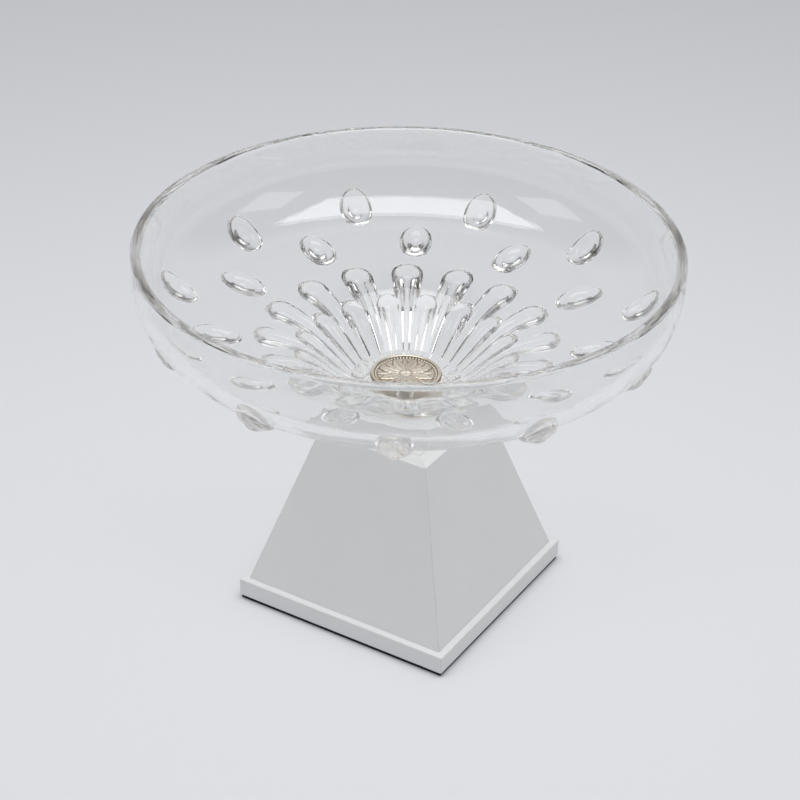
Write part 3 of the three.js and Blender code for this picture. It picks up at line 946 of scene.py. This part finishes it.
def underside_at(radius):
    """Length along the section where the underside reaches a radius."""
    under = (run >= neck_end) & (run <= bend_top)
    return float(np.interp(radius, section[under, 0], run[under]))


def from_nearest(angle, first, count):
    """Angle from the nearest of a number of evenly spaced directions."""
    step = 2 * math.pi / count
    return (angle - first + step / 2) % step - step / 2


def dome(square, core, skirt):
    """Height of a dome on a skirt, from the square of the share of the way to its outline. The skirt is the
    root of one less that square. The dome is one less that square over the square of the core's reach."""
    low = np.sqrt(np.clip(1 - square, 0, 1))
    high = np.clip(1 - square / core ** 2, 0, 1)
    return skirt * low + (1 - skirt) * high


def flute_relief(kind, angle, s, r, lean):
    """A rib along the radius that rises from its root and widens to a round head. Across it, and past the
    head's centre, it is a dome on a skirt, whose share of the height grows toward the head."""
    centre, half, height = flute_heads[kind]
    turned = 0 if kind == "long" else math.pi / flute_count
    across = from_nearest(angle, flute_turn + turned, flute_count) * centre / half
    beyond = np.clip((s - underside_at(centre)) / half, 0, None)
    rise = np.clip((r - flute_root) / (centre - flute_root), 0, 1)
    skirt = flute_skirt[0] + (flute_skirt[1] - flute_skirt[0]) * rise ** 2
    return height * lean * rise ** flute_rise * dome(across ** 2 + beyond ** 2, flute_core, skirt)


def drop_relief(ring, angle, s, r):
    """An oval dome: its middle on a ring, its long way along the section."""
    half_step = math.pi / drop_count
    first = drop_turn + (half_step if ring else 0)
    across = from_nearest(angle, first, drop_count) * r / drop_half[1]
    along = (s - underside_at(drop_rings[ring])) / drop_half[0]
    return drop_height * dome(across ** 2 + along ** 2, drop_core, drop_skirt)


def relief(angle, s):
    """How far the drops and flutes stand out of the underside. Flutes meet in a slightly filled groove."""
    r, _, _, out_z = on_section(s)
    long = flute_relief("long", angle, s, r, -out_z)
    short = flute_relief("short", angle, s, r, -out_z)
    apart = np.clip(1 - np.abs(long - short) / groove_round, 0, 1)
    both = np.minimum(long, short) > 0
    flutes = np.maximum(long, short) + both * groove_round * apart ** 2 / 4
    drops = drop_relief(0, angle, s, r) + drop_relief(1, angle, s, r)
    outside = (s > neck_end) & (s < bend_top)
    return np.where(outside, flutes + drops, 0)


def ripple(angle, s):
    """Fire-polished waviness, always inwards: sines round the bowl that drift along the section."""
    total = sum(np.sin(count * angle + drift * s + phase) for count, drift, phase in ripple_waves)
    near_rim = np.exp(-((s - (wall_end + lip_end) / 2) / rim_reach) ** 2)
    free = np.clip((s - neck_end) / ripple_fade, 0, 1) * np.clip((inner_floor_end - s) / ripple_fade, 0, 1)
    return -free * (ripple_depth + rim_ripple * near_rim) * (1 + total / len(ripple_waves))


def bowl_surface(angle, s):
    """The section turned about Z, moved out along its own outward direction by the relief and the ripple."""
    r, z, out_r, out_z = on_section(s)
    stand = relief(angle, s) + ripple(angle, s)
    r = r + stand * out_r
    z = z + stand * out_z
    return np.stack([r * np.cos(angle), r * np.sin(angle), z + bowl_base], -1)


def bowl_normals(angle, s):
    """Outward directions from differences of the surface over a short reach each way. The reach rounds the
    moulded edges a little and the bored ones hardly."""
    reach = np.where((s < 1) | (s > well_end - 1), bored_reach, moulded_reach)
    r = np.maximum(on_section(s)[0], bore_radius)
    turn = reach / r
    across = bowl_surface(angle + turn, s) - bowl_surface(angle - turn, s)
    along = bowl_surface(angle, s + reach) - bowl_surface(angle, s - reach)
    normal = np.cross(across, along)
    return normal / np.linalg.norm(normal, axis=-1)[..., None]


# Rows of the fine part of the underside: lengths along the section, each with the rows that lead up to it.
short_centre, short_half, _ = flute_heads["short"]
long_centre, long_half, _ = flute_heads["long"]
drop_middles = [underside_at(ring) for ring in drop_rings]
row_marks = [
    (neck_end + 0.6, 0),
    (underside_at(short_centre), 22),
    (underside_at(short_centre) + short_half, 8),
    (underside_at(long_centre), 9),
    (underside_at(long_centre) + long_half, 10),
    (drop_middles[0] - drop_half[0], 6),
    (drop_middles[0], 10),
    (drop_middles[1], 23),
    (drop_middles[1] + drop_half[0] + 8, 16),
]
row_ends = np.cumsum([rows for _, rows in row_marks])
plain_rows = np.interp(np.arange(row_ends[-1] + 1), row_ends, [s for s, _ in row_marks])
short_tip_row, long_head_row, long_tip_row = row_ends[2], row_ends[3], row_ends[4]
drop_row = (row_ends[6], row_ends[7])
column_step = 2 * math.pi / fine_columns


def plain_s(row):
    return np.interp(row, np.arange(len(plain_rows)), plain_rows)


def rounded_square(di, dj, inside, outside):
    """Where a grid point goes in a patch whose inner rectangle's rings become rings of an ellipse: the share
    of the way from the middle to the outline, its direction, the share of the way from the outline to the
    patch's border, and the point on that border."""
    outside_x, up, down = outside
    outside_y = np.where(dj >= 0, up, down)
    ring = np.maximum(np.abs(di) / inside[0], np.abs(dj) / inside[1])
    beyond = np.maximum((np.abs(di) - inside[0]) / (outside_x - inside[0]),
                        (np.abs(dj) - inside[1]) / (outside_y - inside[1]))
    beyond = np.clip(beyond, 0, 1)
    reach_x = inside[0] + (outside_x - inside[0]) * beyond
    reach_y = inside[1] + (outside_y - inside[1]) * beyond
    scale = np.where(ring > 1, 1, np.maximum(ring, 1e-9))
    u = np.clip(di / reach_x / scale, -1, 1)
    v = np.clip(dj / reach_y / scale, -1, 1)
    cos, sin = to_circle(u, v)
    share = np.sin(np.minimum(ring, 1) * math.pi / 2)
    return share, cos, sin, beyond, u * outside_x, v * outside_y


def warped(row, column, centre_row, centre_column, half, radius, inside, outside):
    """Angle and length of a patch's grid points: rings of an ellipse, blended to the plain grid outside.
    Its half width is measured at a radius, or at each point's own where none is given."""
    mapped = rounded_square(column - centre_column, row - centre_row, inside, outside)
    share, cos, sin, beyond, border_x, border_y = mapped
    oval_s = plain_s(centre_row) + share * sin * half[0]
    oval_x = share * cos * half[1]
    radius = radius or on_section(oval_s)[0]
    blend = beyond ** 1.5
    new_s = (1 - blend) * oval_s + blend * plain_s(centre_row + border_y)
    new_angle = (1 - blend) * oval_x / radius + blend * border_x * column_step
    return centre_column * column_step + new_angle, new_s


rows, columns = np.meshgrid(np.arange(len(plain_rows)), np.arange(fine_columns), indexing="ij")
fine_angle = columns * column_step
fine_s = plain_s(rows)

# Drops: a patch of 32 columns and up to 32 rows round each, the two rings taking turns.
per_drop = fine_columns // (2 * drop_count)
for ring in (0, 1):
    centre_row = drop_row[ring]
    nearest = np.round((columns / per_drop - ring) / 2) * 2 + ring
    own = np.abs(columns - nearest * per_drop) <= per_drop / 2
    down = 13 if ring == 0 else 16
    inside_patch = own & (rows >= centre_row - down) & (rows <= centre_row + 16)
    picked = np.nonzero(inside_patch)
    fine_angle[picked], fine_s[picked] = warped(
        rows[picked], columns[picked], centre_row, nearest[picked] * per_drop,
        half=drop_half, radius=None, inside=drop_cells, outside=(per_drop // 2, 16, down))

# Long flutes: the grid is turned a hair so that a column runs down each, and a patch shapes each round head.
per_flute = fine_columns // flute_count
turned_columns = round((flute_turn - drop_turn) / column_step)
flute_column = turned_columns % per_flute
flute_shift = (flute_turn - drop_turn) - column_step * turned_columns
nearest = np.round((columns - flute_column) / per_flute) * per_flute + flute_column
picked = np.nonzero(rows <= long_tip_row + 3)
head_angle, head_s = warped(
    np.maximum(rows[picked], long_head_row), columns[picked], long_head_row, nearest[picked],
    half=(long_half, long_half), radius=long_centre, inside=head_cells, outside=(per_flute // 2, 13, 13))
fine_angle[picked] = head_angle
fine_s[picked] = np.where(rows[picked] > long_head_row, head_s, fine_s[picked])
fine_angle += flute_shift * np.clip((long_tip_row + 3 - rows) / 3, 0, 1)

# Short flutes: rows near their heads bow to follow the part of each head that shows between the long flutes.
fine_angle += drop_turn
short_turn = flute_turn + math.pi / flute_count
off_short = from_nearest(fine_angle, short_turn, flute_count) * short_centre / short_half
bow = short_half * (1 - np.sqrt(1 - np.minimum(np.abs(off_short), 0.61) ** 2))
short_tip = plain_rows[short_tip_row]
fine_s = fine_s - bow * np.interp(fine_s, [underside_at(short_centre), short_tip, short_tip + 7], [0, 1, 0])

# The rest of the section has a quarter of the columns: the wall, lip, inside, well, bore and foot.
coarse_runs = [
    np.linspace(fine_s[-1, 0] + 1.2, wall_end, 12)[:-1],
    np.linspace(wall_end, lip_end, 11)[:-1],
    np.linspace(lip_end, inner_bend_end, 20)[:-1],
    np.linspace(inner_bend_end, inner_floor_end - corner, 30),
    [inner_floor_end, inner_floor_end + corner],
    np.linspace(inner_floor_end + 6, well_end - bored_corner, 4),
    [well_end, well_end + bored_corner],
    [bore_end - bored_corner, bore_end],
]
foot_runs = [
    [bored_corner, foot_end / 2, foot_end - corner, foot_end, foot_end + corner, edge_end - corner, edge_end],
    np.linspace(edge_end + corner, neck_end, 4),
]
coarse_s = spread(np.concatenate(coarse_runs + foot_runs), coarse_columns)
top_count = sum(len(part) for part in coarse_runs)
every = fine_columns // coarse_columns
coarse_angle = np.repeat(fine_angle[-1:, ::every], len(coarse_s), 0)
coarse_angle[top_count:] = fine_angle[0, ::every]

all_angle = np.concatenate([fine_angle.ravel(), coarse_angle.ravel()])
all_s = np.concatenate([fine_s.ravel(), coarse_s.ravel()])
bowl_points = bowl_surface(all_angle, all_s)
bowl_directions = bowl_normals(all_angle, all_s)


def strip(low, high):
    """Two triangles for each cell between neighbouring rows of points, split along the shorter diagonal."""
    a, b = low, np.roll(low, -1, -1)
    d, c = high, np.roll(high, -1, -1)
    one_way = np.linalg.norm(bowl_points[a] - bowl_points[c], axis=-1)
    other_way = np.linalg.norm(bowl_points[b] - bowl_points[d], axis=-1)
    use_ac = (one_way <= other_way)[..., None]
    first = np.where(use_ac, np.stack([a, b, c], -1), np.stack([a, b, d], -1))
    second = np.where(use_ac, np.stack([a, c, d], -1), np.stack([b, c, d], -1))
    return np.concatenate([first.reshape(-1, 3), second.reshape(-1, 3)])


def narrowing(fine, coarse):
    """Five triangles that join each four cells of a fine row to one cell of a coarse row."""
    f = [np.roll(fine, -k)[::every] for k in range(every + 1)]
    c, n = coarse, np.roll(coarse, -1)
    parts = [(f[0], f[1], c), (f[1], f[2], c), (f[2], n, c), (f[2], f[3], n), (f[3], f[4], n)]
    return np.concatenate([np.stack(part, -1) for part in parts])


fine_index = np.arange(fine_s.size).reshape(fine_s.shape)
coarse_index = fine_s.size + np.arange(coarse_s.size).reshape(coarse_s.shape)
bowl_faces = np.concatenate([
    strip(fine_index[:-1], fine_index[1:]),
    narrowing(fine_index[-1], coarse_index[0]),
    strip(coarse_index[:-1], coarse_index[1:]),
    narrowing(fine_index[0], coarse_index[-1])[:, ::-1],
])
bowl_mesh = mesh_of("glass_bowl_crystal", bowl_points, bowl_faces)
bowl_mesh.normals_split_custom_set_from_vertices(bowl_directions.tolist())

# Crystal: clear, with a trace of warm grey where it is thick, and the faintest ripple left by the mould.
crystal_clear = (0.985, 0.990, 0.987, 1)
crystal_depth = (0.82, 0.74, 0.60, 1)
tree, shader, place = material_of("crystal")
wavy = noise(tree, place, scale=55, detail=1)
plug(tree, shader, {
    "Base Color": crystal_clear,
    "Roughness": between(tree, wavy, 0, 0.012),
    "Transmission Weight": 1,
    "IOR": 1.54,
    "Normal": bump(tree, wavy, 0.35, 0.0004),
})
let_light_through(tree, shader)
depth = put(tree, "ShaderNodeVolumeAbsorption", {"Color": crystal_depth, "Density": 1.0})
plug(tree, tree.nodes["Material Output"], {"Volume": depth})
place_piece("glass_bowl_crystal", bowl_mesh, "crystal", "glass_bowl")

# Medallion and its gasket
# A cast disc, gilt in pale champagne gold and toned dark in its hollows: a rolled border, a ring of beads
# and a rosette of eight veined leaves round a fluted boss. The stud pulls it down on a clear gasket.
medallion_columns = 480
medallion_rows = 84
medallion_thick = 2.4
medallion_relief = 1.2
medallion_chamfer = 0.8
border_middle, border_half = 20.75, 1.25
bead_count, bead_ring, bead_radius, bead_height = 60, 18.7, 0.78, 0.55
leaf_count, leaf_root, leaf_tip, leaf_half, leaf_height = 8, 3.6, 17.4, 3.5, 0.95
lance_root, lance_tip, lance_half, lance_height = 8.5, 17.2, 1.35, 0.55
boss_radius, boss_height, boss_flutes = 4.4, 1.1, 12
leaf_turn = 0.2
vein_step, vein_slant, vein_depth = 1.7, 0.9, 0.10
midrib_half, midrib_depth = 0.24, 0.30
cast_grain, cast_grain_size = 0.02, 2.5
gasket("medallion_gasket_clear", "medallion_gasket", stud_hole)


def bulge(share):
    """Height of a half round: the square root of one less the square of the share of the way to its edge."""
    return np.sqrt(np.clip(1 - share ** 2, 0, 1))


def leaf(angle, radius, first, root, tip, half, height):
    """A pointed leaf along the radius: widest past its middle, with lobes along its edge, a groove down the
    middle, and slanting side veins."""
    t = np.clip((radius - root) / (tip - root), 0, 1)
    across = np.abs(from_nearest(angle, first, leaf_count)) * radius
    width = half * np.sin(math.pi * t ** 0.8) ** 0.75 * (1 + 0.09 * np.sin(9 * math.pi * t))
    share = across / np.maximum(width, 1e-3)
    veins = np.clip(np.cos(2 * math.pi * (radius - vein_slant * across) / vein_step), 0, 1)
    veins = vein_depth * veins * np.clip(share * 3, 0, 1)
    groove = midrib_depth * np.exp(-(across / midrib_half) ** 2)
    shape = (0.55 + 0.45 * np.sin(math.pi * t)) * bulge(share) ** 0.7
    return np.where(share < 1, height * shape * (1 - veins - groove), 0)


def medallion_height(angle, radius):
    """Height of the relief above the field: whichever of its border, beads, leaves and boss is highest."""
    border = medallion_relief * bulge((radius - border_middle) / border_half)
    bead_off = np.hypot(from_nearest(angle, 0, bead_count) * bead_ring, radius - bead_ring)
    beads = bead_height * bulge(bead_off / bead_radius)
    leaves = leaf(angle, radius, leaf_turn, leaf_root, leaf_tip, leaf_half, leaf_height)
    between_leaves = leaf_turn + math.pi / leaf_count
    lances = leaf(angle, radius, between_leaves, lance_root, lance_tip, lance_half, lance_height)
    fluting = 1 - 0.16 * (0.5 - 0.5 * np.cos(boss_flutes * angle)) * np.clip(radius / 1.6, 0, 1)
    boss = boss_height * bulge(radius / boss_radius) * fluting
    return np.maximum.reduce([border, beads, leaves, lances, boss])


medallion_radius, medallion_low, _ = half_and_heights("medallion")
angle = full_turn(medallion_columns)
top_radii = np.linspace(medallion_radius, 0, medallion_rows)
height = medallion_height(*np.broadcast_arrays(angle, top_radii[:, None]))
field = np.stack([
    top_radii[:, None] * np.cos(angle),
    top_radii[:, None] * np.sin(angle),
    0 * height,
], -1)
grain = cast_grain * unevenness(field, cast_grain_size, seed=5)
cast = np.clip(height + grain * (height < 1.15), 0, medallion_relief)
# The hollows lie below the mean of the heights round them, seven rows by nine columns.
nearby = [(i, j) for i in range(-3, 4) for j in range(-4, 5)]
smooth = sum(np.roll(height, shift, (0, 1)) for shift in nearby) / len(nearby)
hollows = np.clip((smooth - height) / 0.17, 0, 1) + np.clip(1 - height / 0.1, 0, 0.15)
side_radii = [0, medallion_radius - medallion_chamfer, medallion_radius, medallion_radius]
side_heights = [0, 0, medallion_chamfer, medallion_thick - 0.05]
whole_radii = spread(side_radii + top_radii.tolist(), len(angle))
whole_heights = np.concatenate([spread(side_heights, len(angle)), medallion_thick + cast])
hollow_marks = np.concatenate([np.zeros((len(side_radii), len(angle))), np.clip(hollows, 0, 1)])
medallion_grid = around(whole_radii, whole_heights + medallion_low, medallion_columns)
grid_piece("medallion_rosette", [medallion_grid], "champagne_gilt", "medallion", [hollow_marks], "hollow", 60)

# Light
# A studio with one wide softbox nearly overhead and two smaller ones high at the sides of the camera. Matt
# surfaces are lit by an even grey room. Glass and metal, and the camera, see a pale backdrop all round the
# horizon that rises high behind the object, and a dark room above it at the front and the sides.
room_dim = (0.05, 0.05, 0.055, 1)
room_light = (0.578, 0.585, 0.602, 1)
backdrop = (0.53, 0.535, 0.555, 1)
dark_room = (0.004, 0.004, 0.005, 1)
# Lamps: metres to the camera's right, toward it and above the rim, then width, depth and radiance.
overhead_place, overhead_lamp = (0, 0.035, 1.0), (1.08, 0.71, 2.85)
side_place, side_lamp = (1.2, 0.35, 0.75), (0.6, 0.6, 0.95)
level_right = np.array([math.cos(camera_turn), math.sin(camera_turn), 0.0])
level_front = np.array([math.sin(camera_turn), -math.cos(camera_turn), 0.0])
world = bpy.data.worlds.new("studio")
world.use_nodes = True
sky = world.node_tree
direction = put(sky, "ShaderNodeTexCoord", {}).node.outputs["Generated"]
upward = put(sky, "ShaderNodeSeparateXYZ", {"Vector": direction}).node.outputs["Z"]
backward = put(sky, "ShaderNodeVectorMath", {0: direction, 1: tuple(-level_front)},
               operation="DOT_PRODUCT").node.outputs["Value"]
lit = mixed(sky, between(sky, upward, 0, 1, 0.05, 0.55), room_dim, room_light)
behind = between(sky, backward, 0, 1, 0.3, 0.6)
horizon = between(sky, upward, 1, 0, 0.04, 0.12)
seen = mixed(sky, maths(sky, "MAXIMUM", behind, horizon), dark_room, backdrop)
ray = put(sky, "ShaderNodeLightPath", {}).node.outputs
sharp = maths(sky, "MAXIMUM", ray["Is Camera Ray"], ray["Is Glossy Ray"])
sharp = maths(sky, "MAXIMUM", sharp, ray["Is Transmission Ray"])
plug(sky, sky.nodes["Background"], {"Color": mixed(sky, sharp, lit, seen)})
scene.world = world


def softbox(name, centre, aim, width, depth, radiance):
    """A flat rectangular lamp at a point in metres, facing another. Its power is radiance x area x pi."""
    lamp = bpy.data.lights.new(name, "AREA")
    lamp.shape = "RECTANGLE"
    lamp.size = width
    lamp.size_y = depth
    lamp.energy = radiance * width * depth * math.pi
    fixture = bpy.data.objects.new(name, lamp)
    scene.collection.objects.link(fixture)
    z = np.array(centre) - np.array(aim)
    z = z / np.linalg.norm(z)
    x = level_right - np.dot(level_right, z) * z
    x = x / np.linalg.norm(x)
    fixture.matrix_world = matrix_of(x, np.cross(z, x), z, centre)


rim_middle = np.array([0, 0, cad_box[1].z])


def from_rim(across, toward, above):
    """A point in metres from the middle of the rim's plane."""
    return rim_middle + across * level_right + toward * level_front + np.array([0, 0, above])


softbox("overhead", from_rim(*overhead_place), from_rim(0, overhead_place[1], 0), *overhead_lamp)
for side, sign in (("left", -1), ("right", 1)):
    across, toward, above = side_place
    softbox(f"side_{side}", from_rim(sign * across, toward, above), rim_middle, *side_lamp)
